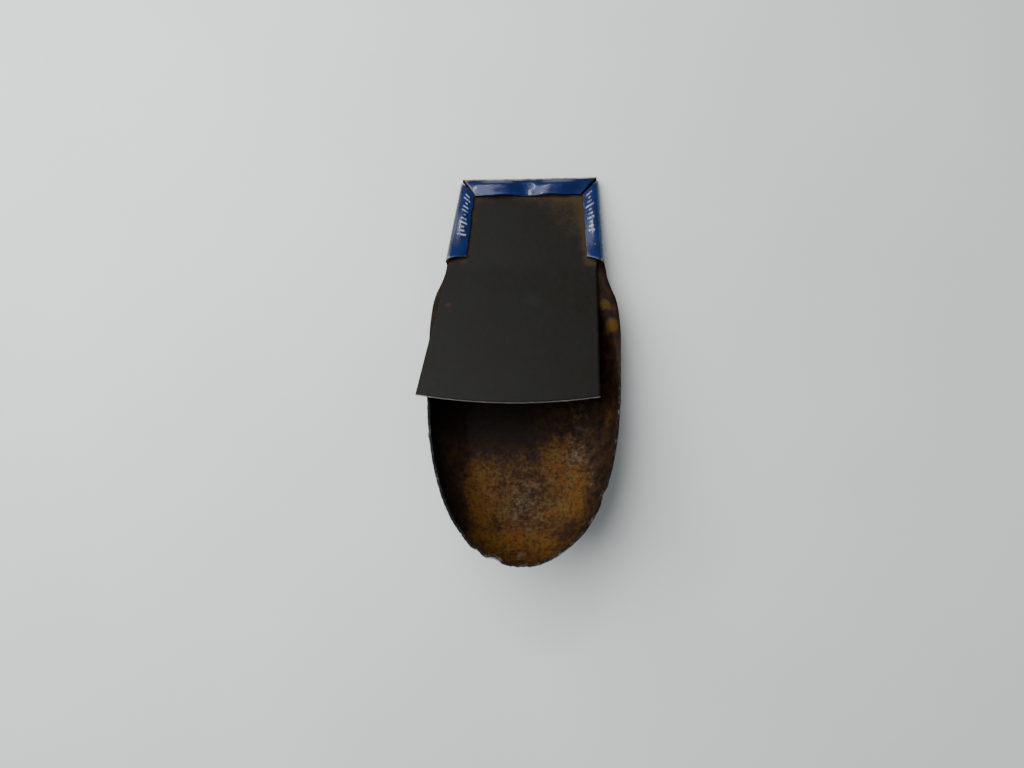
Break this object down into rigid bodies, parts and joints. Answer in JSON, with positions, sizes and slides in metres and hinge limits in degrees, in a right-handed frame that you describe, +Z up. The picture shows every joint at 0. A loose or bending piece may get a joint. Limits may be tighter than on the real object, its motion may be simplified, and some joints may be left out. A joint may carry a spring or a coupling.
{
  "type": "tin clicker noisemaker",
  "caption": "Tinplate clicker noisemaker: a fan-shaped spring steel tongue, held by folded tabs on a flat neck, over a drawn oval bowl that sounds when the tongue is pressed.",
  "frame": {"origin": "under the middle of the box of the clicker lying on its bowl and the heel of its clamp, on the surface that it lies on", "axes": "+Z up; +Y along the bowl's long axis, from the bowl to the clamp; +X to the right seen from the bowl's free end"},
  "size_m": [0.025, 0.0502, 0.0122],
  "materials": {
    "enamelled_tin": "gloss",
    "spring_steel": "satin"
  },
  "bodies": {
    "shell": {"tin_body": "enamelled_tin", "tongue_root": "spring_steel"},
    "tongue": {"tongue_blade": "spring_steel"}
  },
  "joints": [
    {"name": "tongue_press", "type": "hinge", "parent": "shell", "child": "tongue", "pos_m": [0.0005, 0.01184, 0.00357], "axis": [1, 0, 0], "range_deg": [0, 4.3], "stiffness_Nm_per_rad": 1.5}
  ]
}
